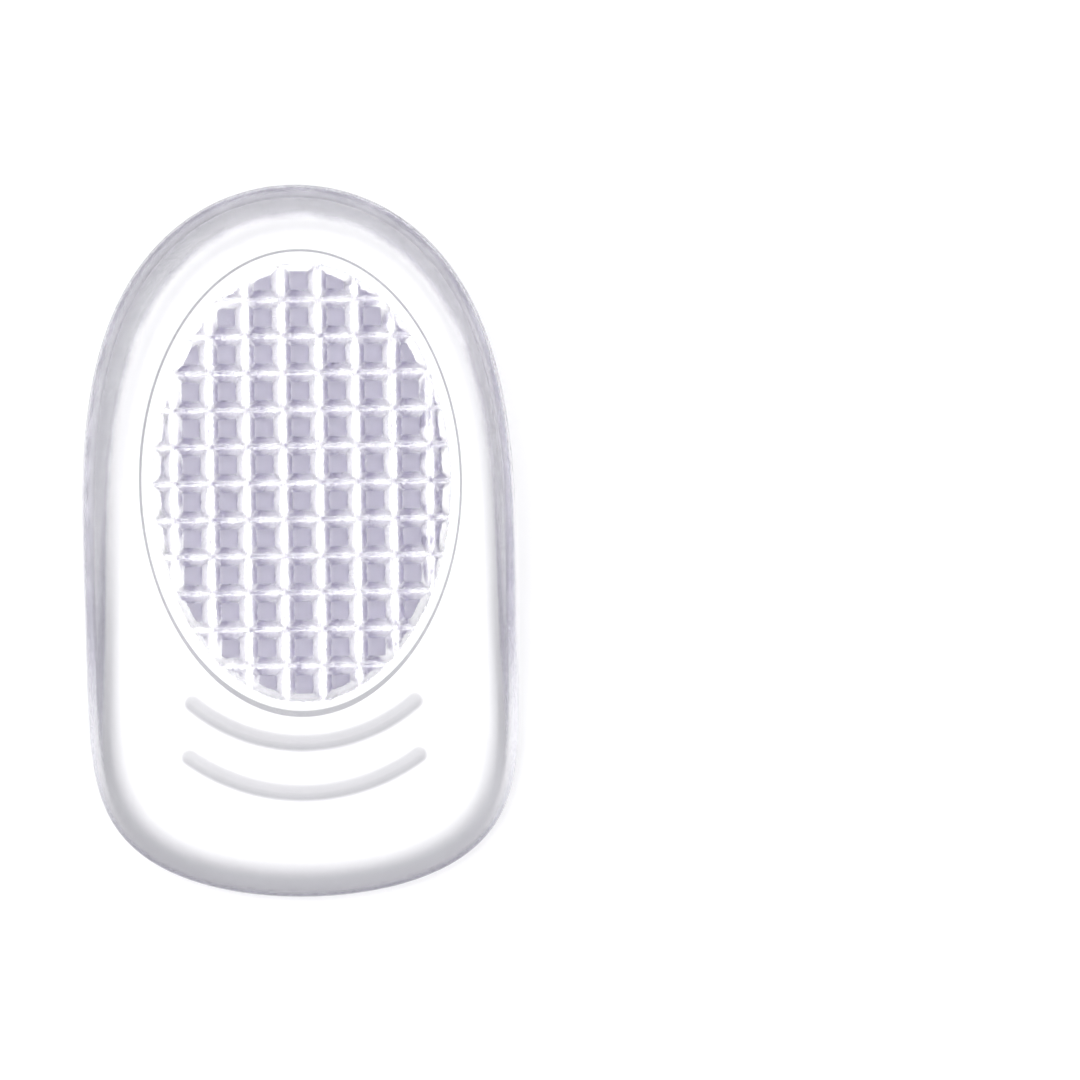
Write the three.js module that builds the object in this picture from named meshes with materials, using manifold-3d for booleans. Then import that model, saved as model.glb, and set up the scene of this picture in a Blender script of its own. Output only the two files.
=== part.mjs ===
// A clear gel heel cup: one soft moulding that lies under the heel inside a shoe. Its wall is highest behind
// the heel and runs down along both sides to a thin rounded front edge. The foot side is smooth, with a
// shallow oval seat and two curved ribs in front of it. The sole side has a field of tapered pockets.
//
// Millimetres, +Z up, +Y towards the back of the heel. The origin is on the ground under the middle of the
// cup's box. A section point is a Vector2 of its inset from the outline and its height above the ground.

import * as THREE from "three";
import Module from "manifold-3d";

// Outline seen from above, two half ovals that meet where the cup is widest
const CUP_LENGTH = 105;
const CUP_WIDTH = 64;
const FRONT_RUN = 43; // from the front edge back to the widest place
const HEEL_SQUARENESS = 3.3; // 2 makes an ellipse, more makes a squarer end
const FRONT_SQUARENESS = 5.3;

// Heights above the ground
const HEEL_HEIGHT = 20;
const FLOOR_THICKNESS = 6.5;
const FRONT_EDGE_HEIGHT = 3; // where the front edge stands out furthest
const FRONT_EDGE_FLAT = 0.35; // upright band between the front edge's lower and upper rounding
const HEEL_FLARE_HEIGHT = 7; // where the rounded outer foot of the wall turns into its straight flare

// Insets from the outline
const BASE_INSET = 5.5;
const HEEL_FLARE = 0.8;
const FRONT_ROUNDING = 7; // from the front edge in to the flat floor

// The wall behind and beside the heel
const RIM_WIDTH = 1.9;
const RIM_CROWN = 1.1; // height of the rim's rounding
const WALL_THICKENING = 1.1; // from the rim down to the floor's fillet
const FLOOR_FILLET = 3.9;
const WALL_FALL_RUN = 95; // length over which the wall rises from the front edge to its full height
const STEADY_RISE = 0.3; // share of that rise that is a straight ramp, the rest eases in and out

// The oval seat in the floor
const SEAT_LENGTH = 68.8;
const SEAT_HEEL_MARGIN = 8.9; // from the outline behind the heel
const SEAT_SIDE_MARGIN = 8.2; // from the outline at the sides
const SEAT_STEP = 0.4;
const SEAT_STEP_RUN = 0.25;
const SEAT_DISH = 0.35; // how much deeper the seat is in its middle

// Tapered pockets in the sole side, in rows and columns clipped by an oval
const POCKET_FIELD_BORDER = 1.6; // from the seat's edge in to the field's edge
const POCKET_PITCH = 5.47;
const POCKET_WEB = 0.45; // between the mouths of two pockets
const POCKET_TAPER = 1.15; // how far each side leans in
const POCKET_DEPTH = 2.6;
const LEAST_POCKET = 0.3; // share of a pitch that a clipped pocket keeps at its mouth

// Curved ribs on the floor in front of the seat
const RIB_WIDTH = 3;
const RIB_HEIGHT = 0.8;
const RIB_SPACING = 7.4;
const RIB_SEAT_GAP = 2.8;
const RIBS = [
    { bendRadius: 25.4, halfSpan: 17.6 },
    { bendRadius: 29.2, halfSpan: 18.2 },
];

// How finely the curves are cut into facets
const HEEL_OUTLINE_STEPS = 58;
const FRONT_OUTLINE_STEPS = 42;
const OUTLINE_SAMPLES_PER_STEP = 40;
const UNDERCUT_STEPS = 6;
const FLARE_STEPS = 2;
const RIM_STEPS = 3;
const WALL_STEPS = 2;
const FILLET_STEPS = 5;
const DISH_STEPS = 3;
const FIELD_STEPS = 64;
const RIB_STEPS = 22;
const RIB_END_STEPS = 4;
const RIB_CROWN_STEPS = 8;
const BOOLEAN_OVERLAP = 0.5; // how far a tool or a joined body passes the face that it meets

const HEEL_RUN = CUP_LENGTH - FRONT_RUN;
const WIDEST_Y = FRONT_RUN - CUP_LENGTH / 2;
const SEAT = {
    halfWidth: CUP_WIDTH / 2 - SEAT_SIDE_MARGIN,
    halfLength: SEAT_LENGTH / 2,
    y: CUP_LENGTH / 2 - SEAT_HEEL_MARGIN - SEAT_LENGTH / 2,
};
const FIELD = {
    halfWidth: SEAT.halfWidth - POCKET_FIELD_BORDER,
    halfLength: SEAT.halfLength - POCKET_FIELD_BORDER,
};

const manifold = await Module();
manifold.setup();

// Half of the cup's outline, from one widest place to the other and anticlockwise seen from above. The run
// is positive towards the heel and negative towards the front
class HalfOutline extends THREE.Curve {
    constructor(run, squareness, steps) {
        super();
        Object.assign(this, { run, squareness, steps });
        this.arcLengthDivisions = steps * OUTLINE_SAMPLES_PER_STEP;
    }

    getPoint(share, target = new THREE.Vector3()) {
        const angle = share * Math.PI;
        const x = Math.sign(this.run) * (CUP_WIDTH / 2) * Math.cos(angle);
        return target.set(x, WIDEST_Y + this.run * Math.sin(angle) ** (2 / this.squareness), 0);
    }

    // Evenly spaced stations without the last point, each with the direction that leads into the cup
    stations() {
        return Array.from({ length: this.steps }, (_, index) => {
            const tangent = this.getTangentAt(index / this.steps);
            return {
                point: this.getPointAt(index / this.steps),
                inward: new THREE.Vector3(-tangent.y, tangent.x, 0),
            };
        });
    }
}

// Quarter of an ellipse from one point to another, round the corner where its two tangents meet
function quarter(from, corner, to, steps) {
    const centre = from.clone().add(to).sub(corner);
    return Array.from({ length: steps }, (_, index) => {
        const angle = ((index + 1) / steps) * (Math.PI / 2);
        const start = from.clone().sub(centre).multiplyScalar(Math.cos(angle));
        const end = to.clone().sub(centre).multiplyScalar(Math.sin(angle));
        return start.add(end).add(centre);
    });
}

function straight(from, to, steps) {
    return Array.from({ length: steps }, (_, index) => from.clone().lerp(to, (index + 1) / steps));
}

// Section of the wall behind the heel, from the flat base round the outside and over the rim to the floor
function heelSection() {
    const base = new THREE.Vector2(BASE_INSET, 0);
    const flareFoot = new THREE.Vector2(HEEL_FLARE, HEEL_FLARE_HEIGHT);
    const rimOuter = new THREE.Vector2(0, HEEL_HEIGHT - RIM_CROWN);
    const rimTop = new THREE.Vector2(RIM_WIDTH / 2, HEEL_HEIGHT);
    const rimInner = new THREE.Vector2(RIM_WIDTH, HEEL_HEIGHT - RIM_CROWN);
    const wallInner = RIM_WIDTH + WALL_THICKENING;
    const wallFoot = new THREE.Vector2(wallInner, FLOOR_THICKNESS + FLOOR_FILLET);
    const floorEdge = new THREE.Vector2(wallInner + FLOOR_FILLET, FLOOR_THICKNESS);
    return [
        base,
        ...quarter(base, new THREE.Vector2(flareFoot.x, base.y), flareFoot, UNDERCUT_STEPS),
        ...straight(flareFoot, rimOuter, FLARE_STEPS),
        ...quarter(rimOuter, new THREE.Vector2(rimOuter.x, rimTop.y), rimTop, RIM_STEPS),
        ...quarter(rimTop, new THREE.Vector2(rimInner.x, rimTop.y), rimInner, RIM_STEPS),
        ...straight(rimInner, wallFoot, WALL_STEPS),
        ...quarter(wallFoot, new THREE.Vector2(wallFoot.x, floorEdge.y), floorEdge, FILLET_STEPS),
    ];
}

// Section of the rounded front edge, with as many points as the heel's section
function frontSection() {
    const base = new THREE.Vector2(BASE_INSET, 0);
    const edge = new THREE.Vector2(0, FRONT_EDGE_HEIGHT);
    const edgeTop = new THREE.Vector2(0, FRONT_EDGE_HEIGHT + FRONT_EDGE_FLAT);
    const floorEdge = new THREE.Vector2(FRONT_ROUNDING, FLOOR_THICKNESS);
    const topSteps = 2 * RIM_STEPS + WALL_STEPS + FILLET_STEPS;
    return [
        base,
        ...quarter(base, new THREE.Vector2(edge.x, base.y), edge, UNDERCUT_STEPS),
        ...straight(edge, edgeTop, FLARE_STEPS),
        ...quarter(edgeTop, new THREE.Vector2(edgeTop.x, floorEdge.y), floorEdge, topSteps),
    ];
}

// How much of the heel's section an outline point has: none at the front edge and all of it behind the heel
function wallShare(y) {
    const share = THREE.MathUtils.clamp((y + CUP_LENGTH / 2) / WALL_FALL_RUN, 0, 1);
    return THREE.MathUtils.lerp(THREE.MathUtils.smoothstep(share, 0, 1), share, STEADY_RISE);
}

// Point of the seat's oval, grown by a width and then scaled, in the direction of a point of the floor's edge
function seatPoint(from, growth, scale, z) {
    const angle = Math.atan2((from.y - SEAT.y) / SEAT.halfLength, from.x / SEAT.halfWidth);
    const x = (SEAT.halfWidth + growth) * scale * Math.cos(angle);
    return new THREE.Vector3(x, SEAT.y + (SEAT.halfLength + growth) * scale * Math.sin(angle), z);
}

// Closed surface through rings of equally many points, with a fan of triangles over the first ring and over
// the last. Each ring runs anticlockwise seen from the side of the next one
function loft(rings, firstCentre, lastCentre) {
    const count = rings[0].length;
    const positions = [...rings.flat(), firstCentre, lastCentre].flatMap((point) => point.toArray());
    const first = rings.length * count;
    const last = first + 1;
    const topRing = first - count;
    const triangles = [];
    for (let step = 0; step < count; step += 1) {
        const next = (step + 1) % count;
        for (let ring = 0; ring < rings.length - 1; ring += 1) {
            const low = ring * count;
            const high = low + count;
            triangles.push(low + step, low + next, high + next, low + step, high + next, high + step);
        }
        triangles.push(next, step, first, topRing + step, topRing + next, last);
    }
    const vertProperties = new Float32Array(positions);
    const triVerts = new Uint32Array(triangles);
    return new manifold.Manifold(new manifold.Mesh({ numProp: 3, vertProperties, triVerts }));
}

// The cup without pockets and ribs: sections along the outline, then the floor and the seat's rings
function cupBody() {
    const heelHalf = new HalfOutline(HEEL_RUN, HEEL_SQUARENESS, HEEL_OUTLINE_STEPS);
    const frontHalf = new HalfOutline(-FRONT_RUN, FRONT_SQUARENESS, FRONT_OUTLINE_STEPS);
    const heel = heelSection();
    const front = frontSection();
    const sections = [...heelHalf.stations(), ...frontHalf.stations()].map(({ point, inward }) => {
        const share = wallShare(point.y);
        const section = front.map((spot, row) => spot.clone().lerp(heel[row], share));
        return section.map(({ x: inset, y: z }) => point.clone().addScaledVector(inward, inset).setZ(z));
    });
    const walls = heel.map((_, row) => sections.map((section) => section[row]));
    const floorEdge = walls.at(-1);
    const seatFloor = FLOOR_THICKNESS - SEAT_STEP;
    const ring = (growth, scale, z) => floorEdge.map((from) => seatPoint(from, growth, scale, z));
    const dish = Array.from({ length: DISH_STEPS }, (_, index) => {
        const scale = 1 - index / DISH_STEPS;
        return ring(-SEAT_STEP_RUN / 2, scale, seatFloor - SEAT_DISH * (1 - scale * scale));
    });
    const rings = [...walls, ring(SEAT_STEP_RUN / 2, 1, FLOOR_THICKNESS), ...dish];
    const seatMiddle = new THREE.Vector3(0, SEAT.y, seatFloor - SEAT_DISH);
    return loft(rings, new THREE.Vector3(0, SEAT.y, 0), seatMiddle);
}

function middleOf(ring) {
    return ring.reduce((sum, point) => sum.add(point), new THREE.Vector3()).divideScalar(ring.length);
}

// Tapered plug that stands on its wide end, which is carried on downwards past the sole. The ring function
// gives the plug's outline for how far it has leaned in and how high it is
function plug(ringAt) {
    const rings = [
        ringAt(0, -BOOLEAN_OVERLAP),
        ringAt(0, 0),
        ringAt(POCKET_TAPER, POCKET_DEPTH),
    ];
    return loft(rings, middleOf(rings[0]), middleOf(rings.at(-1)));
}

function squareRing(x, y, halfSide, z) {
    const corners = [[1, -1], [1, 1], [-1, 1], [-1, -1]];
    return corners.map(([right, back]) => new THREE.Vector3(x + right * halfSide, y + back * halfSide, z));
}

function ovalRing(halfWidth, halfLength, z) {
    return Array.from({ length: FIELD_STEPS }, (_, index) => {
        const angle = (index / FIELD_STEPS) * 2 * Math.PI;
        return new THREE.Vector3(halfWidth * Math.cos(angle), SEAT.y + halfLength * Math.sin(angle), z);
    });
}

// Places of the pockets from the field's middle: a column on the midline, a web across the middle, and at
// the field's edge only those that keep a fair share of their mouth
function pocketPlaces() {
    const reach = Math.ceil(FIELD.halfLength / POCKET_PITCH) + 1;
    const steps = Array.from({ length: 2 * reach + 1 }, (_, index) => index - reach);
    const places = steps.flatMap((column) => steps.map((row) => ({
        x: column * POCKET_PITCH,
        y: (row + 0.5) * POCKET_PITCH,
    })));
    const overhang = (0.5 - LEAST_POCKET) * POCKET_PITCH;
    return places.filter(({ x, y }) => Math.hypot(
        x / (FIELD.halfWidth + overhang),
        y / (FIELD.halfLength + overhang),
    ) < 1);
}

function pocketField() {
    const halfMouth = (POCKET_PITCH - POCKET_WEB) / 2;
    const pockets = pocketPlaces().map(({ x, y }) => plug(
        (lean, z) => squareRing(x, SEAT.y + y, halfMouth - lean, z),
    ));
    const field = plug((lean, z) => ovalRing(FIELD.halfWidth - lean, FIELD.halfLength - lean, z));
    return pockets.reduce((sum, pocket) => sum.add(pocket)).intersect(field);
}

// A curved rib, from its right tip to its left tip. Its crown is half an ellipse, its root sinks into the
// floor, and near both tips the section shrinks so that the ends are round
function rib({ bendRadius, halfSpan }, order) {
    const halfWidth = RIB_WIDTH / 2;
    const middleY = SEAT.y - SEAT.halfLength - RIB_SEAT_GAP - halfWidth - order * RIB_SPACING;
    const halfAngle = Math.asin(halfSpan / bendRadius);
    const endAngle = halfWidth / bendRadius;
    const straightShares = Array.from({ length: RIB_STEPS + 1 }, (_, index) => 1 - (2 * index) / RIB_STEPS);
    const body = straightShares.map((share) => ({ angle: share * (halfAngle - endAngle), size: 1 }));
    const tip = Array.from({ length: RIB_END_STEPS }, (_, index) => {
        const turn = ((index + 1) / (RIB_END_STEPS + 0.5)) * (Math.PI / 2);
        return { angle: halfAngle - endAngle + endAngle * Math.sin(turn), size: Math.cos(turn) };
    });
    const otherTip = tip.map(({ angle, size }) => ({ angle: -angle, size }));
    const stations = [...tip.reverse(), ...body, ...otherTip];
    const place = (angle, across, z) => new THREE.Vector3(
        (bendRadius + across) * Math.sin(angle),
        middleY + bendRadius - (bendRadius + across) * Math.cos(angle),
        z,
    );
    const rings = stations.map(({ angle, size }) => {
        const crown = Array.from({ length: RIB_CROWN_STEPS + 1 }, (_, index) => {
            const turn = (index / RIB_CROWN_STEPS) * Math.PI;
            const rise = FLOOR_THICKNESS + RIB_HEIGHT * size * Math.sin(turn);
            return place(angle, halfWidth * size * Math.cos(turn), rise);
        });
        const root = FLOOR_THICKNESS - BOOLEAN_OVERLAP;
        return [...crown, place(angle, -halfWidth * size, root), place(angle, halfWidth * size, root)];
    });
    const ends = [stations[0], stations.at(-1)].map(({ angle }) => place(angle, 0, FLOOR_THICKNESS));
    return loft(rings, ...ends);
}

function meshOf(name, solid, material) {
    const { vertProperties, triVerts } = solid.getMesh();
    const geometry = new THREE.BufferGeometry();
    geometry.setAttribute("position", new THREE.BufferAttribute(vertProperties, 3));
    geometry.setIndex(new THREE.BufferAttribute(triVerts, 1));
    geometry.computeVertexNormals();
    const mesh = new THREE.Mesh(geometry, material);
    mesh.name = name;
    return mesh;
}

const gel = new THREE.MeshStandardMaterial({ color: 0xe4e2ec, roughness: 0.08, metalness: 0 });
const ribbed = RIBS.map(rib).reduce((cup, strip) => cup.add(strip), cupBody());
const heelCup = new THREE.Group();
heelCup.add(meshOf("gel_cup", ribbed.subtract(pocketField()), gel));

export default heelCup;
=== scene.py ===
"""A clear gel heel cup on a white table, seen from straight above.

The cup is one moulding. Its skin is a closed surface: the wall and front edge are a section carried along the
outline, the floor has an oval seat and two curved ribs, and the sole side has a field of tapered pockets. All
sizes are in metres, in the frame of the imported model: +Z up, +Y towards the back of the heel.
"""

import logging
import math
from dataclasses import dataclass, field, replace
from enum import Enum

import bmesh
import bpy
import numpy as np
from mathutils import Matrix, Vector
from mathutils.geometry import delaunay_2d_cdt


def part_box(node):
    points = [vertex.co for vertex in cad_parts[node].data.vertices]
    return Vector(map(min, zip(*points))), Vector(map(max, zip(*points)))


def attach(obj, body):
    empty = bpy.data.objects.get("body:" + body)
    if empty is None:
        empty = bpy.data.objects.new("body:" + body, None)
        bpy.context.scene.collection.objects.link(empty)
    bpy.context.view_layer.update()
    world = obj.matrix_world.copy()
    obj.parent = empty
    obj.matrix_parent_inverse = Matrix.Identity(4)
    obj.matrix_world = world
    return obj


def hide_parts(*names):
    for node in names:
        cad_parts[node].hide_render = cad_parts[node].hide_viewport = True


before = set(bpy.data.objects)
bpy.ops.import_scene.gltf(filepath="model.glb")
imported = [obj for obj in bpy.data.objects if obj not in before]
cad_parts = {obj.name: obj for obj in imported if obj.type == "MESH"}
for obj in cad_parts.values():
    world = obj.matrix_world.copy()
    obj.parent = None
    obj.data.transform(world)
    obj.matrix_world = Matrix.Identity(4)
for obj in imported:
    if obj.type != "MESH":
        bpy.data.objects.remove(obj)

LOG = logging.getLogger("heel_cup")
MM = 0.001
CUP_NODE = "gel_cup"
BODY = "root"
CUBIC_CM = 1e-6
WELD_DISTANCE = 2e-7
FILL_TOLERANCE = 1e-8
NOT_ZERO = 1e-9


class Facing(Enum):
    """Which way a flat face looks."""

    UP = 1
    DOWN = -1


@dataclass
class Patch:
    """A piece of surface that is welded to its neighbours later.

    Attributes:
        points: Positions, one row of x, y and z for each point.
        quads: Faces of four point numbers, anticlockwise seen from outside.
        triangles: Faces of three point numbers, anticlockwise seen from outside.
        tone: How deep the shade painted into the gel's colour is at each point, from 0 for clear to 1.
        lilac: How far that painted shade is lilac, from 0 for smoky to 1.
    """

    points: np.ndarray
    quads: np.ndarray = field(default_factory=lambda: np.empty((0, 4), int))
    triangles: np.ndarray = field(default_factory=lambda: np.empty((0, 3), int))
    tone: np.ndarray | None = None
    lilac: float | np.ndarray = 0.0

    def tone_values(self) -> np.ndarray:
        """Return the tone of each point, which is 0 where none is given."""
        return np.zeros(len(self.points)) if self.tone is None else self.tone

    def lilac_values(self) -> np.ndarray:
        """Return how lilac each point is."""
        return np.broadcast_to(self.lilac, len(self.points))

    def turned_over(self) -> "Patch":
        """Return the same surface with its faces looking the other way."""
        return Patch(self.points, self.quads[:, ::-1], self.triangles[:, ::-1], self.tone, self.lilac)

    @staticmethod
    def join(patches: list["Patch"]) -> "Patch":
        """Put patches into one, with each patch's point numbers moved past those before it.

        Args:
            patches: The patches, in any order.

        Returns:
            One patch that holds them all, not yet welded.
        """
        starts = np.cumsum([0] + [len(patch.points) for patch in patches[:-1]])
        return Patch(
            points=np.concatenate([patch.points for patch in patches]),
            quads=np.concatenate([patch.quads + start for patch, start in zip(patches, starts)]),
            triangles=np.concatenate([patch.triangles + start for patch, start in zip(patches, starts)]),
            tone=np.concatenate([patch.tone_values() for patch in patches]),
            lilac=np.concatenate([patch.lilac_values() for patch in patches]),
        )


def ring_quads(rings: int, count: int) -> np.ndarray:
    """Join each ring of points to the next one, and its last point back to its first.

    Args:
        rings: How many rings there are.
        count: How many points each ring has. Point p of ring r has the number r * count + p.

    Returns:
        The quads, which face outwards where each ring is anticlockwise seen from the side of the next one.
    """
    ring, point = np.meshgrid(np.arange(rings - 1), np.arange(count), indexing="ij")
    low = ring * count
    after = (point + 1) % count
    corners = [low + point, low + after, low + count + after, low + count + point]
    return np.stack(corners, axis=-1).reshape(-1, 4)


def ring_stack(rings: np.ndarray, centre: np.ndarray | None = None, tone: np.ndarray | float = 0.0) -> Patch:
    """Make a surface through rings of points, closed by a fan where a centre is given.

    Args:
        rings: Positions with one row for each ring, one column for each point.
        centre: The point that closes the last ring, or None to leave it open.
        tone: The tone of every point, or of each ring as a column, or of each point of each ring.

    Returns:
        The surface.
    """
    count = rings.shape[1]
    points = rings.reshape(-1, 3)
    quads = ring_quads(len(rings), count)
    tones = np.broadcast_to(tone, rings.shape[:2]).ravel()
    if centre is None:
        return Patch(points, quads, tone=tones)
    last = (len(rings) - 1) * count + np.arange(count)
    fan = np.stack([last, np.roll(last, -1), np.full(count, len(points))], axis=1)
    return Patch(np.vstack([points, centre]), quads, fan, np.append(tones, tones[-1]))


def at_height(loop: np.ndarray, height: float | np.ndarray) -> np.ndarray:
    """Lift plan points to a height.

    Args:
        loop: Rows of x and y.
        height: One height for all of them, or one for each.

    Returns:
        Rows of x, y and z.
    """
    heights = np.broadcast_to(height, loop.shape[:-1])
    return np.concatenate([loop, heights[..., None]], axis=-1)


def eased(share: np.ndarray) -> np.ndarray:
    """Return 3 t squared less 2 t cubed, which eases a share from 0 to 1 in and out."""
    return share ** 2 * (3 - 2 * share)


def soft_ramp(distance: np.ndarray, run: float, rounding: float) -> np.ndarray:
    """Rise from 0 to 1 over a run, with both corners of the ramp rounded.

    A corner is the ramp's slope times a parabola, (d + r) squared over 4r, within the rounding r either side.

    Args:
        distance: How far in from the start of the ramp each point is.
        run: The length of the ramp.
        rounding: How far each corner's rounding reaches either side of it.

    Returns:
        The share of the full rise at each point.
    """

    def corner(offset: np.ndarray) -> np.ndarray:
        """Return a parabola near 0, nothing before it and a straight line after it."""
        near = np.clip(offset + rounding, 0, 2 * rounding) ** 2 / (4 * rounding)
        return near + np.maximum(offset - rounding, 0)

    return (corner(distance) - corner(distance - run)) / run


def fill_plane(outer: np.ndarray, holes: list[np.ndarray], height: float, facing: Facing) -> Patch:
    """Fill a flat face between an outer loop and the holes in it with triangles.

    A triangle lies in a hole where its three corners belong to that hole's loop and turn the same way as it.

    Args:
        outer: Plan points of the outer loop, anticlockwise seen from above.
        holes: Plan points of each hole's loop, anticlockwise seen from above.
        height: The height of the face.
        facing: Whether the face looks up or down.

    Returns:
        The face, whose points are those of the loops.
    """
    loops = [outer, *holes]
    sizes = np.array([len(loop) for loop in loops])
    starts = np.repeat(np.cumsum(sizes) - sizes, sizes)
    owner = np.repeat(np.arange(len(loops)), sizes)
    plan = np.concatenate(loops)
    numbers = np.arange(len(plan))
    following = starts + (numbers - starts + 1) % sizes[owner]
    edges = np.stack([numbers, following], axis=1).tolist()
    filled = delaunay_2d_cdt(list(map(Vector, (plan / MM).tolist())), edges, [], 1, FILL_TOLERANCE / MM)
    origin = np.array([sources[0] for sources in filled[3]])
    triangles = np.sort(origin[np.array(filled[2])], axis=1)
    first, second, third = (plan[triangles[:, corner]] for corner in range(3))
    turn = np.cross(second - first, third - first)
    in_hole = (owner[triangles[:, 0]] == owner[triangles[:, 2]]) & (owner[triangles[:, 0]] > 0) & (turn > 0)
    backwards = (turn * facing.value < 0)[:, None]
    triangles = np.where(backwards, triangles[:, ::-1], triangles)[~in_hole]
    return Patch(at_height(plan, height), triangles=triangles)


def quarter(start: tuple, corner: tuple, end: tuple, count: int) -> np.ndarray:
    """Quarter of an ellipse from one section point to another.

    A point is the ellipse's centre, plus the start's arm times the cosine and the end's arm times the sine of
    an angle from 0 to 90 degrees. The centre is the start plus the end less the corner.

    Args:
        start: Inset and height where it starts.
        corner: Inset and height where the tangents at both ends meet.
        end: Inset and height where it ends.
        count: How many points follow the start.

    Returns:
        The points after the start, rows of inset and height.
    """
    start, corner, end = (np.array(spot, float) for spot in (start, corner, end))
    centre = start + end - corner
    angle = np.linspace(0, math.pi / 2, count + 1)[1:, None]
    return centre + (start - centre) * np.cos(angle) + (end - centre) * np.sin(angle)


def straight(start: tuple, end: tuple, count: int) -> np.ndarray:
    """Straight stretch from one section point to another, without its start.

    Args:
        start: Inset and height where it starts.
        end: Inset and height where it ends.
        count: How many points follow the start.

    Returns:
        The points after the start, rows of inset and height.
    """
    share = np.linspace(0, 1, count + 1)[1:, None]
    return np.array(start, float) * (1 - share) + np.array(end, float) * share


@dataclass(frozen=True)
class Outline:
    """The cup's outline seen from above, two half ovals that meet where the cup is widest.

    On each half, the square of x over the half width, plus the distance from the widest place over the half's
    run to the power of its squareness, is 1.
    """

    length: float
    width: float
    front_run: float = 43 * MM
    heel_squareness: float = 3.3
    front_squareness: float = 5.3
    samples: int = 6001

    @property
    def widest_y(self) -> float:
        """Return where along the cup it is widest."""
        return self.front_run - self.length / 2

    def half(self, run: float, squareness: float, count: int) -> tuple[np.ndarray, np.ndarray]:
        """Work out evenly spaced stations along one half, without its last point.

        x is the half width times the cosine of an angle, and y goes from the widest place by the run times
        the sine to the power of two over the squareness. The inward direction is against the gradient of the
        outline's formula.

        Args:
            run: From the widest place to the half's end, positive to the heel and negative to the front.
            squareness: The half's exponent.
            count: How many stations to make.

        Returns:
            The stations' plan points and the directions into the cup.
        """
        angle = np.linspace(0, math.pi, self.samples)
        side = math.copysign(self.width / 2, run)

        def place(at: np.ndarray) -> np.ndarray:
            """Return the plan points for angles from 0 to half a turn."""
            return np.stack([side * np.cos(at), run * np.sin(at) ** (2 / squareness)], axis=1)

        steps = np.hypot(*np.diff(place(angle), axis=0).T)
        travelled = np.concatenate([[0], np.cumsum(steps)])
        even = np.interp(np.linspace(0, travelled[-1], count, endpoint=False), travelled, angle)
        spots = place(even)
        slope_y = np.abs(spots[:, 1] / run) ** (squareness - 1) * squareness / run
        gradient = np.stack([2 * spots[:, 0] / (self.width / 2) ** 2, slope_y], axis=1)
        inward = -gradient / np.linalg.norm(gradient, axis=1, keepdims=True)
        return spots + [0, self.widest_y], inward

    def stations(self, heel_count: int, front_count: int) -> tuple[np.ndarray, np.ndarray]:
        """Work out the stations of the whole outline, anticlockwise from its widest place at the right.

        Args:
            heel_count: How many stations the heel's half has.
            front_count: How many stations the front's half has.

        Returns:
            The stations' plan points and the directions into the cup.
        """
        heel = self.half(self.length - self.front_run, self.heel_squareness, heel_count)
        front = self.half(-self.front_run, self.front_squareness, front_count)
        return np.concatenate([heel[0], front[0]]), np.concatenate([heel[1], front[1]])


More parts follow.
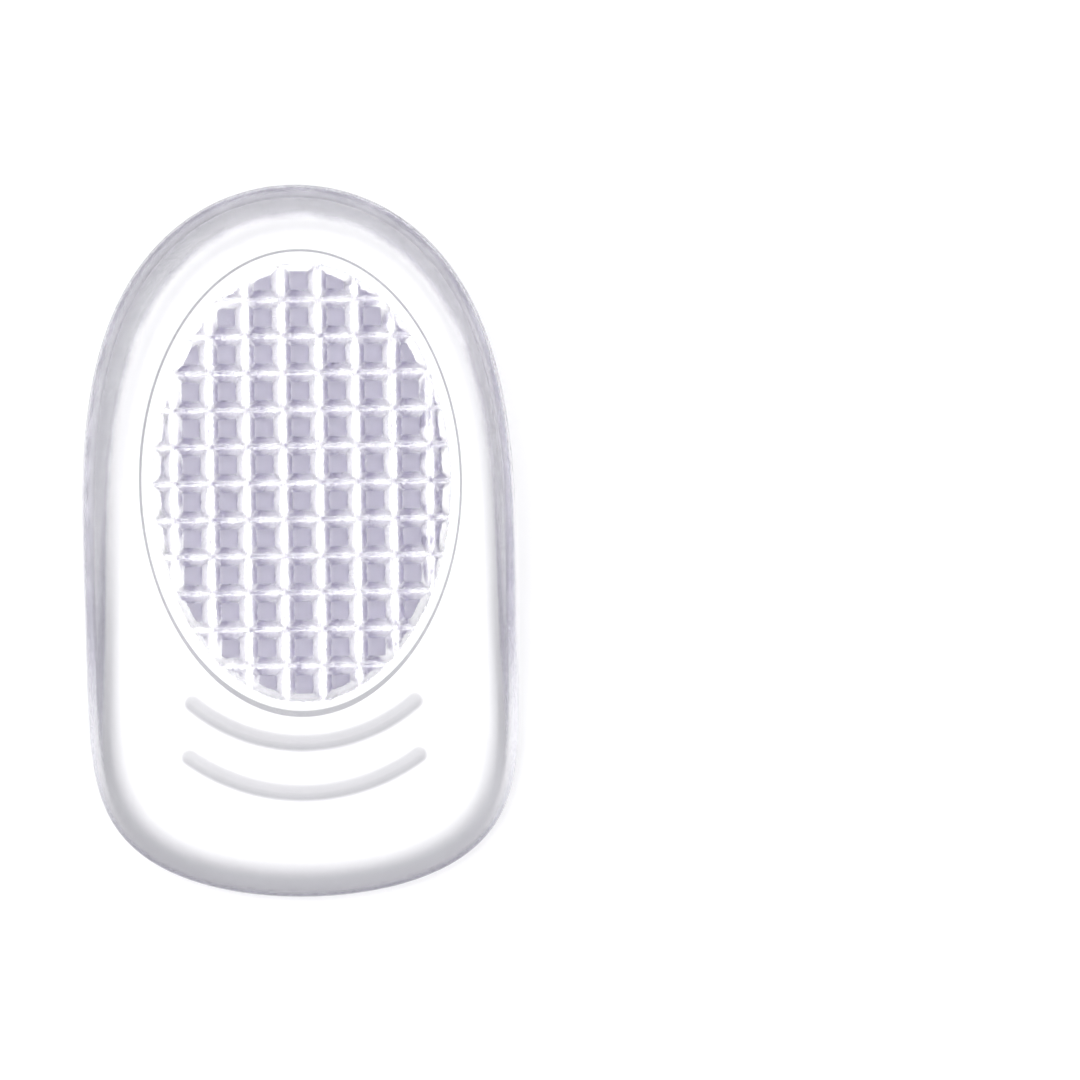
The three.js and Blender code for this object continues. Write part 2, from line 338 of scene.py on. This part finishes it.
@dataclass(frozen=True)
class EdgeSection:
    """The section of the wall and edge, rows of inset from the outline and height above the ground.

    It has two forms with as many points each, the wall behind the heel and the rounded front edge, and is
    blended between them along the cup.
    """

    heel_height: float
    floor: float = 6.5 * MM
    base_inset: float = 5.5 * MM
    front_edge_height: float = 3 * MM
    front_edge_flat: float = 0.35 * MM
    front_rounding: float = 7 * MM
    flare: float = 0.8 * MM
    flare_height: float = 7 * MM
    rim_width: float = 1.9 * MM
    rim_crown: float = 1.1 * MM
    thickening: float = 1.1 * MM
    fillet: float = 3.9 * MM
    fall_run: float = 95 * MM
    steady_rise: float = 0.3
    # Tones of the painted shade band along the edge and wall, in part the thick gel's deeper tint.
    front_tone: float = 1.0
    heel_rim_tone: float = 0.56
    side_rim_tone: float = 0.08
    wall_tone: float = 0.94
    walled_share: float = 0.2
    band_solid: float = 2.4 * MM
    front_fade: float = 4.1 * MM
    wall_fade: float = 2.0 * MM
    undercut_count: int = 16
    flare_count: int = 8
    rim_count: int = 8
    wall_count: int = 8
    fillet_count: int = 15

    def heel(self) -> np.ndarray:
        """Return the wall's section, from the flat base round the outside and over the rim to the floor.

        The undercut and the fillet end tangent to the leaning sides: their corners lie on those sides' lines.
        """
        base = (self.base_inset, 0)
        foot = (self.flare, self.flare_height)
        shoulder = self.heel_height - self.rim_crown
        rim_outer = (0, shoulder)
        rim_top = (self.rim_width / 2, self.heel_height)
        rim_inner = (self.rim_width, shoulder)
        wall_inset = self.rim_width + self.thickening
        wall_foot = (wall_inset, self.floor + self.fillet)
        floor_edge = (wall_inset + self.fillet, self.floor)
        flare_lean = self.flare / (shoulder - self.flare_height)
        wall_lean = self.thickening / (shoulder - wall_foot[1])
        fillet_corner = (wall_inset + wall_lean * self.fillet, self.floor)
        return np.concatenate([
            [base],
            quarter(base, (foot[0] + flare_lean * foot[1], 0), foot, self.undercut_count),
            straight(foot, rim_outer, self.flare_count),
            quarter(rim_outer, (0, self.heel_height), rim_top, self.rim_count),
            quarter(rim_top, (self.rim_width, self.heel_height), rim_inner, self.rim_count),
            straight(rim_inner, wall_foot, self.wall_count),
            quarter(wall_foot, fillet_corner, floor_edge, self.fillet_count),
        ])

    def front(self) -> np.ndarray:
        """Return the rounded front edge's section, with as many points as the wall's."""
        base = (self.base_inset, 0)
        edge = (0, self.front_edge_height)
        edge_top = (0, self.front_edge_height + self.front_edge_flat)
        floor_edge = (self.front_rounding, self.floor)
        top_count = 2 * self.rim_count + self.wall_count + self.fillet_count
        return np.concatenate([
            [base],
            quarter(base, (0, 0), edge, self.undercut_count),
            straight(edge, edge_top, self.flare_count),
            quarter(edge_top, (0, self.floor), floor_edge, top_count),
        ])

    def wall_share(self, from_front: np.ndarray) -> np.ndarray:
        """Work out how much of the wall's form each station has, a straight ramp and an eased one mixed.

        Args:
            from_front: How far back from the front edge each station is.

        Returns:
            The shares, from 0 at the front to 1 at the heel.
        """
        ramp = np.clip(from_front / self.fall_run, 0, 1)
        return self.steady_rise * ramp + (1 - self.steady_rise) * eased(ramp)

    def blended(self, from_front: np.ndarray) -> np.ndarray:
        """Blend the two forms along the cup.

        Args:
            from_front: How far back from the front edge each station is.

        Returns:
            A section for each station, rows of inset and height.
        """
        share = self.wall_share(from_front)[:, None, None]
        return self.front() * (1 - share) + self.heel() * share

    def tones(self, insets: np.ndarray, from_front: np.ndarray) -> np.ndarray:
        """Work out the tone of the wall and edge, a band along the outline on the side that faces up.

        It is full up to the band's solid width and then eases out, sooner at the heel than at the front.
        Where there is a wall, its rim is lighter than its inner side, and lightest towards the front. The band
        is painted shade of the rounded edge and wall, in part the deeper tint of the thick gel there; the
        lighter rim is painted light.

        Args:
            insets: How far in from the outline each point is, one row for each point of the section.
            from_front: How far back from the front edge each station is.

        Returns:
            The tone of each point.
        """
        share = self.wall_share(from_front)
        walled = eased(np.clip(share / self.walled_share, 0, 1))
        inner_side = eased(np.clip((insets - self.rim_width / 2) / (self.rim_width / 2), 0, 1))
        rim = self.side_rim_tone + (self.heel_rim_tone - self.side_rim_tone) * share
        wall = rim + (self.wall_tone - rim) * inner_side
        full = self.front_tone * (1 - walled) + wall * walled
        fade = self.front_fade * (1 - share) + self.wall_fade * share
        faces_up = np.arange(len(insets))[:, None] > self.undercut_count + self.flare_count
        return full * (1 - eased(np.clip((insets - self.band_solid) / fade, 0, 1))) * faces_up


@dataclass(frozen=True)
class Seat:
    """The oval seat in the floor: a fine step down all round, and a shallow dish inside it."""

    half_width: float
    half_length: float
    centre_y: float
    floor: float
    step: float = 0.4 * MM
    step_run: float = 0.34 * MM
    front_step_run: float = 0.9 * MM
    widening_power: int = 4
    rounding: float = 0.06 * MM
    step_shares: tuple[float, ...] = (-0.24, -0.08, 0.08, 0.24, 0.5, 0.76, 0.92, 1.08, 1.24)
    dish: float = 0.35 * MM
    # How deep the painted shade on the step is, which draws the step as a dark line.
    line_tone: float = 1.0
    dish_rings: int = 9

    def plan(self, towards: np.ndarray, growth: np.ndarray | float, scale: float = 1.0) -> np.ndarray:
        """Place points on the seat's oval in the directions of other points.

        Args:
            towards: Plan points outside the oval, one for each direction.
            growth: How far the oval is grown outwards.
            scale: What the grown oval is then multiplied by.

        Returns:
            Plan points on the oval.
        """
        angle = np.arctan2((towards[:, 1] - self.centre_y) / self.half_length, towards[:, 0] / self.half_width)
        x = (self.half_width + growth) * scale * np.cos(angle)
        y = self.centre_y + (self.half_length + growth) * scale * np.sin(angle)
        return np.stack([x, y], axis=1)

    def surface(self, towards: np.ndarray) -> Patch:
        """Make the step and the dish, as rings from the floor to the seat's middle.

        The step widens towards the seat's front end with a high power of how far forward it is.

        Args:
            towards: Plan points of the floor's edge, one for each point of a ring.

        Returns:
            The surface, whose outermost ring is the floor's hole for it.
        """
        forward = np.clip((self.centre_y - self.plan(towards, 0)[:, 1]) / self.half_length, 0, 1)
        run = self.step_run + (self.front_step_run - self.step_run) * forward ** self.widening_power
        shares = np.array(self.step_shares)
        drop = soft_ramp(shares, 1.0, self.rounding / self.step_run)
        step = [
            at_height(self.plan(towards, (0.5 - share) * run), self.floor - self.step * fall)
            for share, fall in zip(shares, drop)
        ]
        edge = (0.5 - shares[-1]) * run
        bottom = self.floor - self.step
        dish = [
            at_height(self.plan(towards, edge, scale), bottom - self.dish * (1 - scale ** 2))
            for scale in 1 - np.arange(1, self.dish_rings) / self.dish_rings
        ]
        # The step's points carry painted shade, a dark line round the seat.
        on_step = (shares > 0) & (shares < 1)
        tone = self.line_tone * np.concatenate([on_step, np.zeros(len(dish))])[:, None]
        return ring_stack(np.stack(step + dish), np.array([0, self.centre_y, bottom - self.dish]), tone)


@dataclass(frozen=True)
class Rib:
    """A curved rib on the floor with a bell-shaped section and round ends."""

    middle_y: float
    bend_radius: float
    half_span: float
    floor: float
    width: float = 3.0 * MM
    height: float = 0.8 * MM
    # Painted shade on the rib: its grey, and how much darker its front side is.
    painted_shade_tone: float = 0.76
    soft_share: float = 0.45
    front_painted_shade: float = 0.5
    along_count: int = 72
    end_count: int = 18
    rings: int = 14

    def loop_frame(self) -> tuple[np.ndarray, np.ndarray]:
        """Work out the rib's middle line as a loop, there and back, with the direction out of it.

        Returns:
            Plan points on the middle line, and unit directions from it to the rib's edge, anticlockwise.
        """
        turn = math.asin(self.half_span / self.bend_radius) - self.width / 2 / self.bend_radius
        angle = np.linspace(-turn, turn, self.along_count)
        outward = np.stack([np.sin(angle), -np.cos(angle)], axis=1)
        line = [0, self.middle_y + self.bend_radius] + self.bend_radius * outward
        swing = np.linspace(0, math.pi, self.end_count)[1:-1, None]
        ahead = np.array([[math.cos(turn), math.sin(turn)]])
        right_end = outward[-1:] * np.cos(swing) + ahead * np.sin(swing)
        left_end = right_end[::-1] * [-1, 1]
        spots = [line, np.repeat(line[-1:], len(swing), 0), line[::-1], np.repeat(line[:1], len(swing), 0)]
        return np.concatenate(spots), np.concatenate([outward, right_end, -outward[::-1], left_end])

    def surface(self) -> Patch:
        """Make the rib, as rings from its edge on the floor to its middle line.

        Its height is half the full height times 1 plus the cosine of how far out a point is, from the middle
        line at no angle to the edge at half a turn. Its tone is painted shade: it eases in from the edge, and
        is deeper on its front side than on its back, as if light fell from the back.

        Returns:
            The surface, whose outermost ring is the floor's hole for it.
        """
        line, outward = self.loop_frame()
        share = np.linspace(1, 0, self.rings)
        plan = line + outward * (share * self.width / 2)[:, None, None]
        heights = self.floor + self.height * (1 + np.cos(math.pi * share)) / 2
        tone = self.painted_shade_tone * eased(np.clip((1 - share) / self.soft_share, 0, 1))[:, None]
        tone = tone * (1 - self.front_painted_shade * share[:, None] * outward[:, 1])
        return ring_stack(at_height(plan, heights[:, None]), tone=tone)


@dataclass(frozen=True)
class PocketField:
    """Tapered square pockets in the sole side, in rows and columns clipped by an oval.

    A pocket's outline is worked out round its deepest point: in each direction it reaches to the nearer of its
    square's side and the oval, and a high power mean of the two rounds the corners.
    """

    half_width: float
    half_length: float
    centre_y: float
    pitch: float = 5.47 * MM
    webs: tuple[float, float] = (0.53 * MM, 0.34 * MM)
    taper: float = 1.15 * MM
    depth: float = 2.6 * MM
    rounding: float = 0.13 * MM
    rounding_shares: tuple[float, ...] = (-1.0, -0.33, 0.33, 1.0)
    narrow_fit: float = 0.93
    # Tones of the painted shade in the pockets: ceilings, each side's slope, and the webs at the mouth.
    ceiling_tone: float = 0.76
    side_tones: tuple[float, float, float, float] = (1.0, 0.8, 0.08, 0.7)
    web_tones: tuple[float, float, float, float] = (0.0, 0.9, 0.0, 0.9)
    web_fade: float = 1.5 * MM
    side_power: int = 8
    least_share: float = 0.12
    corner_power: float = 22.0
    least_slant: float = 1e-6
    least_reach: float = 1e-7
    rays: int = 48
    dense_rays: int = 720
    corner_pull: float = 0.9 * MM
    search_count: int = 41
    search_tolerance: float = 0.01 * MM

    def centres(self) -> np.ndarray:
        """Return the squares' plan centres: a column on the midline, a web across the middle."""
        reach = math.ceil(self.half_length / self.pitch) + 1
        steps = np.arange(-reach, reach + 1)
        column, row = np.meshgrid(steps, steps + 0.5, indexing="ij")
        plan = np.stack([column.ravel(), row.ravel()], axis=1) * self.pitch
        overhang = (0.5 - self.least_share) * self.pitch
        inside = np.hypot(plan[:, 0] / (self.half_width + overhang), plan[:, 1] / (self.half_length + overhang))
        return plan[inside < 1]

    def room(self, plan: np.ndarray, centre: np.ndarray) -> np.ndarray:
        """Measure how far inside a pocket's square and the field's oval points are.

        Args:
            plan: Points from the field's middle.
            centre: The square's centre.

        Returns:
            The shorter of the distances to the square's sides and to the oval.
        """
        square = ((self.pitch - np.array(self.webs)) / 2 - np.abs(plan - centre)).min(axis=-1)
        return np.minimum(square, self.to_oval(plan))

    def to_oval(self, plan: np.ndarray) -> np.ndarray:
        """Measure to first order how far inside the field's oval points are.

        It is 1 less the oval's level, over the length of the level's gradient.

        Args:
            plan: Points from the field's middle.

        Returns:
            The distances.
        """
        axes = np.array([self.half_width, self.half_length])
        level = np.linalg.norm(plan / axes, axis=-1)
        gradient = np.linalg.norm(plan / axes ** 2, axis=-1) / np.maximum(level, NOT_ZERO)
        return (1 - level) / np.maximum(gradient, NOT_ZERO)

    def deepest(self, centre: np.ndarray) -> tuple[np.ndarray, float]:
        """Find the point of a pocket that is furthest inside it.

        Args:
            centre: The square's centre.

        Returns:
            That point, and how far inside it is.
        """
        spread = np.linspace(-0.5, 0.5, self.search_count) * (self.pitch - max(self.webs))
        grid = np.stack(np.meshgrid(spread, spread, indexing="ij"), axis=-1) + centre
        room = self.room(grid, centre)
        best = room >= room.max() - self.search_tolerance
        return grid[best].mean(axis=0), float(room.max())

    def reach(self, hub: np.ndarray, centre: np.ndarray, angles: np.ndarray, lean: np.ndarray) -> np.ndarray:
        """Work out how far a pocket's outline is from its hub.

        The square's side is at the distance to it over the cosine or sine. The oval is at the larger root of
        the quadratic that its formula gives along the ray.

        Args:
            hub: The point that the rays start from.
            centre: The square's centre.
            angles: The rays' directions.
            lean: How far the outline has moved in, one value for each ring.

        Returns:
            Distances, one row for each ring.
        """
        ray = np.stack([np.cos(angles), np.sin(angles)], axis=-1)
        lean = np.asarray(lean)[:, None]
        sides = [
            ((self.pitch - web) / 2 - lean + np.sign(ray[:, axis]) * (centre - hub)[axis])
            / np.maximum(np.abs(ray[:, axis]), self.least_slant)
            for axis, web in enumerate(self.webs)
        ]
        wide, long = self.half_width - lean, self.half_length - lean
        square_term = (ray[:, 0] / wide) ** 2 + (ray[:, 1] / long) ** 2
        cross_term = hub[0] * ray[:, 0] / wide ** 2 + hub[1] * ray[:, 1] / long ** 2
        rest = (hub[0] / wide) ** 2 + (hub[1] / long) ** 2 - 1
        oval = (np.sqrt(cross_term ** 2 - square_term * rest) - cross_term) / square_term
        power = self.corner_power
        bounds = (np.maximum(bound, self.least_reach) for bound in (*sides, oval))
        return sum(bound ** -power for bound in bounds) ** (-1 / power)

    def ray_angles(self, hub: np.ndarray, centre: np.ndarray) -> np.ndarray:
        """Choose a pocket's rays, evenly along its outline but closer together round its corners.

        Args:
            hub: The point that the rays start from.
            centre: The square's centre.

        Returns:
            The rays' directions, anticlockwise.
        """
        dense = np.linspace(-math.pi, math.pi, self.dense_rays + 1)
        reach = self.reach(hub, centre, dense, [0.0])[0]
        plan = reach[:, None] * np.stack([np.cos(dense), np.sin(dense)], axis=1)
        steps = np.diff(plan, axis=0)
        heading = np.unwrap(np.arctan2(steps[:, 1], steps[:, 0]))
        bend = np.abs(np.diff(heading, append=heading[0] + 2 * math.pi))
        travelled = np.concatenate([[0], np.cumsum(np.hypot(*steps.T) + self.corner_pull * bend)])
        return np.interp(np.linspace(0, travelled[-1], self.rays, endpoint=False), travelled, dense)

    def pocket(self, centre: np.ndarray) -> tuple[np.ndarray, Patch]:
        """Make one pocket, as rings from its mouth on the sole to its ceiling.

        Its height follows a rounded ramp as its outline moves in. A pocket that the oval leaves too narrow is
        made smaller in every direction.

        Args:
            centre: The square's centre, from the field's middle.

        Returns:
            The mouth's plan points, anticlockwise seen from above, and the surface.
        """
        hub, room = self.deepest(centre)
        corner = np.array(self.rounding_shares) * self.rounding
        lean = np.concatenate([corner, [self.taper / 2], self.taper + corner])
        size = min(1.0, self.narrow_fit * room / lean[-1])
        height = self.depth * soft_ramp(lean, self.taper, self.rounding) * size
        angles = self.ray_angles(hub, centre)
        reach = self.reach(hub, centre, angles, lean * size)
        ray = np.stack([np.cos(angles), np.sin(angles)], axis=-1)
        middle = hub + [0, self.centre_y]
        plan = middle + reach[..., None] * ray
        inner = (plan[-1] + middle) / 2
        rings = np.concatenate([at_height(plan, height[:, None]), at_height(inner, height[-1])[None]])
        ceiling = np.append(middle, height[-1])
        tones = self.tones(plan[0] - [0, self.centre_y], centre, ray, len(rings))
        surface = ring_stack(rings, ceiling, tones).turned_over()
        # The pockets' painted shade is lilac.
        return plan[0], replace(surface, lilac=1.0)

    def tones(self, mouth: np.ndarray, centre: np.ndarray, ray: np.ndarray, rings: int) -> np.ndarray:
        """Work out the tone of a pocket's points: the web's at the mouth, each side's slope, the ceiling's.

        All these tones are painted shade. A ray's tone is the mean of the four sides' tones, weighted with a
        high power of how far the ray points to that side, so the right-hand slope is the darkest and the
        left-hand one nearly clear, as if light fell from one side. The back and front sides' tones fall from
        twice theirs at the left to nothing at the right, a painted gradient of shade across the pocket. The
        ceiling is darkened as the shade inside a hollow, and the back and front webs are darkened against the
        light that gathers in them. The web's tone fades out towards the field's oval.

        Args:
            mouth: The mouth's plan points from the field's middle.
            centre: The square's centre.
            ray: The rays' unit directions.
            rings: How many rings the pocket has: the first is its mouth, the last two are on the ceiling.

        Returns:
            One row for each ring, one column for each ray.
        """
        towards = np.clip(np.concatenate([ray.T, -ray.T]), 0, 1) ** self.side_power
        towards = towards / towards.sum(axis=0)
        towards[1::2] *= np.clip(1 - (mouth[:, 0] - centre[0]) / (self.pitch / 2), 0, 2)
        slope, web = (np.array(tones) @ towards for tones in (self.side_tones, self.web_tones))
        web = web * np.clip(self.to_oval(mouth) / self.web_fade, 0, 1)
        order = np.arange(rings)[:, None]
        return np.where(order == 0, web, np.where(order >= rings - 2, self.ceiling_tone, slope))

    def surfaces(self) -> tuple[list[np.ndarray], list[Patch]]:
        """Make all pockets.

        Returns:
            Their mouths' plan points and their surfaces.
        """
        made = [self.pocket(centre) for centre in self.centres()]
        return [mouth for mouth, _ in made], [surface for _, surface in made]


@dataclass(frozen=True)
class GelFinish:
    """Clear soft gel with a slight lilac tint, and smoky and lilac painted shade along the edge, on the ribs
    and in the pockets.
    """

    name: str = "clear_lilac_gel_painted_shade"
    clear_tint: tuple[float, float, float, float] = (1.0, 1.0, 1.0, 1.0)
    smoky_painted_shade: tuple[float, float, float, float] = (0.285, 0.283, 0.305, 1.0)
    lilac_painted_shade: tuple[float, float, float, float] = (0.205, 0.18, 0.315, 1.0)
    roughness: float = 0.13
    refraction: float = 1.41
    absorption: tuple[float, float, float, float] = (0.80, 0.78, 0.92, 1.0)
    absorption_density: float = 6.0
    grain_scale: float = 5000.0
    grain_share: float = 0.6
    grain_gain: float = 0.4
    grain_depth: float = 0.07 * MM

    def material(self) -> bpy.types.Material:
        """Build the material: glass-like gel whose painted shade and fine grain from noise follow the tone
        attribute.

        Returns:
            The material.
        """
        material = bpy.data.materials.new(self.name)
        material.use_nodes = True
        nodes, links = material.node_tree.nodes, material.node_tree.links
        shader = nodes["Principled BSDF"]
        shader.inputs["Roughness"].default_value = self.roughness
        shader.inputs["IOR"].default_value = self.refraction
        shader.inputs["Transmission Weight"].default_value = 1.0

        # The tone attribute mixes the painted shade colour into the clear gel's colour.
        tone = nodes.new("ShaderNodeAttribute")
        tone.attribute_name = "tone"
        lilac = nodes.new("ShaderNodeAttribute")
        lilac.attribute_name = "lilac"
        hue, tint = nodes.new("ShaderNodeMix"), nodes.new("ShaderNodeMix")
        hue.data_type = tint.data_type = "RGBA"
        hue.inputs["A"].default_value = self.smoky_painted_shade
        hue.inputs["B"].default_value = self.lilac_painted_shade
        tint.inputs["A"].default_value = self.clear_tint
        links.new(lilac.outputs["Fac"], hue.inputs["Factor"])
        links.new(hue.outputs["Result"], tint.inputs["B"])
        links.new(tone.outputs["Fac"], tint.inputs["Factor"])
        links.new(tint.outputs["Result"], shader.inputs["Base Color"])

        place = nodes.new("ShaderNodeTexCoord")
        grain = nodes.new("ShaderNodeTexNoise")
        grain.inputs["Scale"].default_value = self.grain_scale
        grain.inputs["Detail"].default_value = 0.0
        strength = nodes.new("ShaderNodeMath")
        strength.operation = "MULTIPLY_ADD"
        strength.inputs[1].default_value = self.grain_gain
        strength.inputs[2].default_value = self.grain_share
        bump = nodes.new("ShaderNodeBump")
        bump.inputs["Distance"].default_value = self.grain_depth
        links.new(place.outputs["Object"], grain.inputs["Vector"])
        links.new(tone.outputs["Fac"], strength.inputs[0])
        links.new(strength.outputs["Value"], bump.inputs["Strength"])
        links.new(grain.outputs["Fac"], bump.inputs["Height"])
        links.new(bump.outputs["Normal"], shader.inputs["Normal"])

        volume = nodes.new("ShaderNodeVolumeAbsorption")
        volume.inputs["Color"].default_value = self.absorption
        volume.inputs["Density"].default_value = self.absorption_density
        links.new(volume.outputs["Volume"], nodes["Material Output"].inputs["Volume"])
        return material


@dataclass(frozen=True)
class GelCup:
    """The whole cup, one closed skin."""

    length: float
    width: float
    height: float
    seat_length: float = 68.8 * MM
    seat_heel_margin: float = 8.9 * MM
    seat_side_margin: float = 8.2 * MM
    field_border: float = 1.6 * MM
    rib_seat_gap: float = 2.8 * MM
    rib_spacing: float = 7.4 * MM
    rib_width: float = 3 * MM
    rib_bends: tuple[tuple[float, float], ...] = ((25.4 * MM, 17.6 * MM), (29.2 * MM, 18.2 * MM))
    heel_stations: int = 310
    front_stations: int = 200

    @classmethod
    def from_frame(cls) -> "GelCup":
        """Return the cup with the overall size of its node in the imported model."""
        low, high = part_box(CUP_NODE)
        return cls(length=high.y - low.y, width=high.x - low.x, height=high.z - low.z)

    def seat(self, floor: float) -> Seat:
        """Return the seat, placed from the outline's heel end.

        Args:
            floor: The floor's height.

        Returns:
            The seat.
        """
        return Seat(
            half_width=self.width / 2 - self.seat_side_margin,
            half_length=self.seat_length / 2,
            centre_y=self.length / 2 - self.seat_heel_margin - self.seat_length / 2,
            floor=floor,
        )

    def ribs(self, seat: Seat) -> list[Rib]:
        """Return the ribs, placed from the seat's front end.

        Args:
            seat: The seat.

        Returns:
            The ribs, from the seat forwards.
        """
        first = seat.centre_y - seat.half_length - self.rib_seat_gap - self.rib_width / 2
        return [
            Rib(first - order * self.rib_spacing, bend, span, seat.floor, self.rib_width)
            for order, (bend, span) in enumerate(self.rib_bends)
        ]

    def skin(self) -> Patch:
        """Make the whole skin from its parts.

        Returns:
            The parts in one patch, not yet welded.
        """
        outline = Outline(self.length, self.width)
        section = EdgeSection(self.height)
        plan, inward = outline.stations(self.heel_stations, self.front_stations)
        from_front = plan[:, 1] + self.length / 2
        sections = section.blended(from_front)
        spots = plan[:, None] + inward[:, None] * sections[..., :1]
        wall = np.concatenate([spots, sections[..., 1:]], axis=-1).transpose(1, 0, 2)
        floor_edge, base_edge = wall[-1, :, :2], wall[0, :, :2]

        seat = self.seat(section.floor)
        seat_skin = seat.surface(floor_edge)
        rib_skins = [rib.surface() for rib in self.ribs(seat)]
        rib_loop = len(self.ribs(seat)[0].loop_frame()[0])
        seat_hole = seat_skin.points[:len(floor_edge), :2]
        rib_holes = [skin.points[:rib_loop, :2] for skin in rib_skins]
        floor = fill_plane(floor_edge, [seat_hole, *rib_holes], section.floor, Facing.UP)

        field_of_pockets = PocketField(
            half_width=seat.half_width - self.field_border,
            half_length=seat.half_length - self.field_border,
            centre_y=seat.centre_y,
        )
        mouths, pockets = field_of_pockets.surfaces()
        base = fill_plane(base_edge, mouths, 0.0, Facing.DOWN)
        LOG.info("pockets: %d", len(pockets))
        wall_skin = ring_stack(wall, tone=section.tones(sections[..., 0].T, from_front))
        return Patch.join([wall_skin, seat_skin, *rib_skins, floor, base, *pockets])

    def build(self) -> bpy.types.Object:
        """Weld the skin into one closed mesh and put it in the scene.

        Returns:
            The cup's object.
        """
        skin = self.skin()
        mesh = bpy.data.meshes.new("gel_cup_skin")
        mesh.from_pydata(skin.points.tolist(), [], skin.quads.tolist() + skin.triangles.tolist())
        for name, values in (("tone", skin.tone_values()), ("lilac", skin.lilac_values())):
            mesh.attributes.new(name, "FLOAT", "POINT").data.foreach_set("value", values)
        welded = bmesh.new()
        welded.from_mesh(mesh)
        bmesh.ops.remove_doubles(welded, verts=welded.verts, dist=WELD_DISTANCE)
        open_edges = sum(not edge.is_manifold for edge in welded.edges)
        volume = welded.calc_volume(signed=True) / CUBIC_CM
        welded.to_mesh(mesh)
        welded.free()
        mesh.shade_smooth()
        LOG.info("gel cup: %d faces, %d open edges, %.2f cm3", len(mesh.polygons), open_edges, volume)
        piece = bpy.data.objects.new("gel_cup_skin", mesh)
        bpy.context.scene.collection.objects.link(piece)
        return piece

    def dress(self, piece: bpy.types.Object) -> None:
        """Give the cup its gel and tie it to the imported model.

        Args:
            piece: The cup's object.
        """
        piece.data.materials.append(GelFinish().material())
        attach(piece, BODY)
        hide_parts(CUP_NODE)


@dataclass(frozen=True)
class Softbox:
    """A square soft light that faces the middle of the table."""

    name: str
    place: tuple[float, float, float]
    size: float
    power: float
    colour: tuple[float, float, float] = (1.0, 1.0, 1.0)

    def build(self) -> bpy.types.Object:
        """Put the light in the scene.

        Returns:
            The light's object.
        """
        lamp = bpy.data.lights.new(self.name, "AREA")
        lamp.energy = self.power
        lamp.size = self.size
        lamp.color = self.colour
        light = bpy.data.objects.new(self.name, lamp)
        light.location = self.place
        light.rotation_euler = (-Vector(self.place)).to_track_quat("-Z", "Y").to_euler()
        bpy.context.scene.collection.objects.link(light)
        return light


@dataclass(frozen=True)
class Studio:
    """The white table, the soft light round it and the camera straight above."""

    table_half: float = 1.5
    table_gap: float = 0.05 * MM
    table_colour: tuple[float, float, float, float] = (0.9, 0.9, 0.9, 1.0)
    horizon: tuple[float, float, float, float] = (0.95, 0.95, 0.97, 1.0)
    zenith: tuple[float, float, float, float] = (0.80, 0.80, 0.81, 1.0)
    left_light: float = 1.32
    right_light: float = 0.82
    lights: tuple[Softbox, ...] = (Softbox("overhead_softbox", (-0.08, 0.12, 0.90), 0.9, 5.3),)
    sensor_width: float = 36.0
    camera_place: tuple[float, float, float] = (0.0354, 0.0001, 0.80)
    camera_roll_degrees: float = -0.82
    focus_height: float = 0.008
    frame_width: float = 159.9 * MM
    glossy_blur: float = 0.1
    bounces: int = 20

    def table(self) -> bpy.types.Object:
        """Build the table's top, a hair below the cup's base.

        Returns:
            The table's object.
        """
        corners = np.array([[-1, -1], [1, -1], [1, 1], [-1, 1]]) * self.table_half
        mesh = bpy.data.meshes.new("table_top")
        mesh.from_pydata(at_height(corners, -self.table_gap).tolist(), [], [(0, 1, 2, 3)])
        table = bpy.data.objects.new("table_top", mesh)
        bpy.context.scene.collection.objects.link(table)
        material = bpy.data.materials.new("white_paper")
        material.use_nodes = True
        shader = material.node_tree.nodes["Principled BSDF"]
        shader.inputs["Base Color"].default_value = self.table_colour
        shader.inputs["Roughness"].default_value = 1.0
        shader.inputs["Specular IOR Level"].default_value = 0.0
        mesh.materials.append(material)
        return table

    def surround(self) -> None:
        """Light the room softly, from the horizon's colour to the zenith's, and more from the left."""
        world = bpy.data.worlds.new("soft_room")
        world.use_nodes = True
        nodes, links = world.node_tree.nodes, world.node_tree.links
        place = nodes.new("ShaderNodeTexCoord")
        split = nodes.new("ShaderNodeSeparateXYZ")
        blend = nodes.new("ShaderNodeMix")
        blend.data_type = "RGBA"
        blend.inputs["A"].default_value = self.horizon
        blend.inputs["B"].default_value = self.zenith
        links.new(place.outputs["Generated"], split.inputs["Vector"])
        links.new(split.outputs["Z"], blend.inputs["Factor"])
        links.new(blend.outputs["Result"], nodes["Background"].inputs["Color"])
        side = nodes.new("ShaderNodeMapRange")
        side.inputs["From Min"].default_value = -1.0
        side.inputs["To Min"].default_value = self.left_light
        side.inputs["To Max"].default_value = self.right_light
        links.new(split.outputs["X"], side.inputs["Value"])
        links.new(side.outputs["Result"], nodes["Background"].inputs["Strength"])
        bpy.context.scene.world = world

    def camera(self) -> bpy.types.Object:
        """Put the camera straight above, so that the picture's width is the frame's width at the focus height.

        Returns:
            The camera's object.
        """
        lens = bpy.data.cameras.new("camera")
        lens.sensor_width = self.sensor_width
        lens.lens = lens.sensor_width * (self.camera_place[2] - self.focus_height) / self.frame_width
        camera = bpy.data.objects.new("camera", lens)
        camera.location = self.camera_place
        camera.rotation_euler = (0, 0, math.radians(self.camera_roll_degrees))
        bpy.context.scene.collection.objects.link(camera)
        bpy.context.scene.camera = camera
        return camera

    def build(self) -> None:
        """Build the table, the light and the camera."""
        self.table()
        self.surround()
        for light in self.lights:
            light.build()
        self.camera()
        scene = bpy.context.scene
        scene.view_settings.view_transform = "Standard"
        scene.cycles.blur_glossy = self.glossy_blur
        scene.cycles.max_bounces = self.bounces
        scene.cycles.glossy_bounces = self.bounces
        scene.cycles.transmission_bounces = self.bounces


def main() -> None:
    """Build the cup and the studio."""
    logging.basicConfig(level=logging.INFO, format="%(name)s: %(message)s")
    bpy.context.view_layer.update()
    Studio().build()
    cup = GelCup.from_frame()
    cup.dress(cup.build())


if __name__ == "__main__":
    main()
